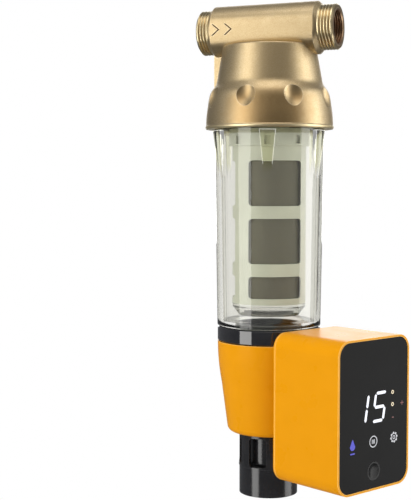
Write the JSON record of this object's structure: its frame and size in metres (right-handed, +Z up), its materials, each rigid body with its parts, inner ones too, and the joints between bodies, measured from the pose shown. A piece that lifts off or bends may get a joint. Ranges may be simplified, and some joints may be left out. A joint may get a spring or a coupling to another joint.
{
  "type": "spin-down sediment filter",
  "caption": "Spin-down sediment filter: brass tee head, clear ribbed bowl with screen cartridge, and a motorised ball drain valve with a display controller.",
  "frame": {"origin": "where the axis of the pipe ports crosses the axis of the bowl", "axes": "+X along the flow, from the inlet to the outlet; +Z up along the bowl's axis; the front of the head faces -Y"},
  "size_m": [0.1633, 0.1272, 0.3669],
  "materials": {
    "brass": "satin, sand-cast and tumbled",
    "chrome": "polished",
    "steel": "satin",
    "clear_plastic": "clear, polished",
    "black_plastic": "gloss",
    "orange_plastic": "fine satin",
    "white_plastic": "moulded",
    "gear_plastic": "moulded",
    "seat_plastic": "waxy",
    "rubber": "matt",
    "steel_mesh": "fine woven",
    "panel_glass": "back-painted, satin gloss",
    "board": "solder mask",
    "lamp": "clear",
    "cell_wrap": "shrink film"
  },
  "bodies": {
    "head": {"head_casting": "brass", "cartridge_cap": "white_plastic", "cartridge_seal": "rubber", "cartridge_cage": "white_plastic", "mesh_sleeve": "steel_mesh", "cartridge_base": "clear_plastic"},
    "seal_ring": {"bowl_seal": "rubber"},
    "bowl": {"clear_bowl": "clear_plastic", "union_nut": "black_plastic"},
    "controller": {"valve_body": "brass", "swivel_seal": "rubber", "upper_seat": "seat_plastic", "lower_seat": "seat_plastic", "valve_end_cap": "brass", "stem_housing": "brass", "valve_cover": "orange_plastic", "spout_gasket": "rubber", "drain_spout": "black_plastic", "back_cover": "orange_plastic", "controller_casing": "orange_plastic", "lid_screws": "steel", "charging_inlet": "black_plastic", "front_panel": "panel_glass", "display_frame": "black_plastic", "display_board": "board", "digit_display": "black_plastic", "indicator_lamps": "lamp", "button_switch": "black_plastic", "gear_axles": "steel", "gearbox_base": "black_plastic", "gearbox_lid": "black_plastic", "motor": "steel", "battery_cells": "cell_wrap", "battery_tray": "white_plastic"},
    "valve_turn": {"valve_ball": "chrome", "valve_stem": "steel", "stem_seals": "rubber", "output_gear": "gear_plastic"},
    "second_wheel": {"second_gear": "gear_plastic"},
    "first_wheel": {"first_gear": "gear_plastic"},
    "rotor": {"motor_pinion": "brass"},
    "button": {"power_button": "black_plastic"}
  },
  "joints": [
    {"name": "bowl_drop", "type": "slide", "parent": "head", "child": "seal_ring", "axis": [0, 0, -1], "range_m": [0, 0.0075]},
    {"name": "bowl_unscrew", "type": "hinge", "parent": "seal_ring", "child": "bowl", "pos_m": [0, 0, -0.0735], "axis": [0, 0, -1], "range_deg": [0, 900]},
    {"name": "drain_swivel", "type": "hinge", "parent": "bowl", "child": "controller", "pos_m": [0, 0, -0.2319], "axis": [0, 0, 1], "range_deg": [-180, 180]},
    {"name": "ball_turn", "type": "hinge", "parent": "controller", "child": "valve_turn", "pos_m": [0, 0, -0.2639], "axis": [0.8973, -0.4415, 0], "range_deg": [0, 90]},
    {"name": "second_wheel_spin", "type": "hinge", "parent": "controller", "child": "second_wheel", "pos_m": [0.04935, -0.02428, -0.2455], "axis": [0.8973, -0.4415, 0], "range_deg": [-325, 0]},
    {"name": "first_wheel_spin", "type": "hinge", "parent": "controller", "child": "first_wheel", "pos_m": [0.04259, -0.03801, -0.25018], "axis": [0.8973, -0.4415, 0], "range_deg": [0, 975]},
    {"name": "rotor_spin", "type": "hinge", "parent": "controller", "child": "rotor", "pos_m": [0.04113, -0.041, -0.26583], "axis": [0.8973, -0.4415, 0], "range_deg": [-2920, 0]},
    {"name": "button_press", "type": "slide", "parent": "controller", "child": "button", "axis": [-0.8973, 0.4415, 0], "range_m": [0, 0.0008], "stiffness_N_per_m": 1500, "springref_m": -0.0004}
  ],
  "couplings": [
    {"joint": "bowl_drop", "follows": "bowl_unscrew", "m_per_rad": 0.00047746},
    {"joint": "second_wheel_spin", "follows": "ball_turn", "ratio": -3.6},
    {"joint": "first_wheel_spin", "follows": "ball_turn", "ratio": 10.8},
    {"joint": "rotor_spin", "follows": "ball_turn", "ratio": -32.4}
  ]
}
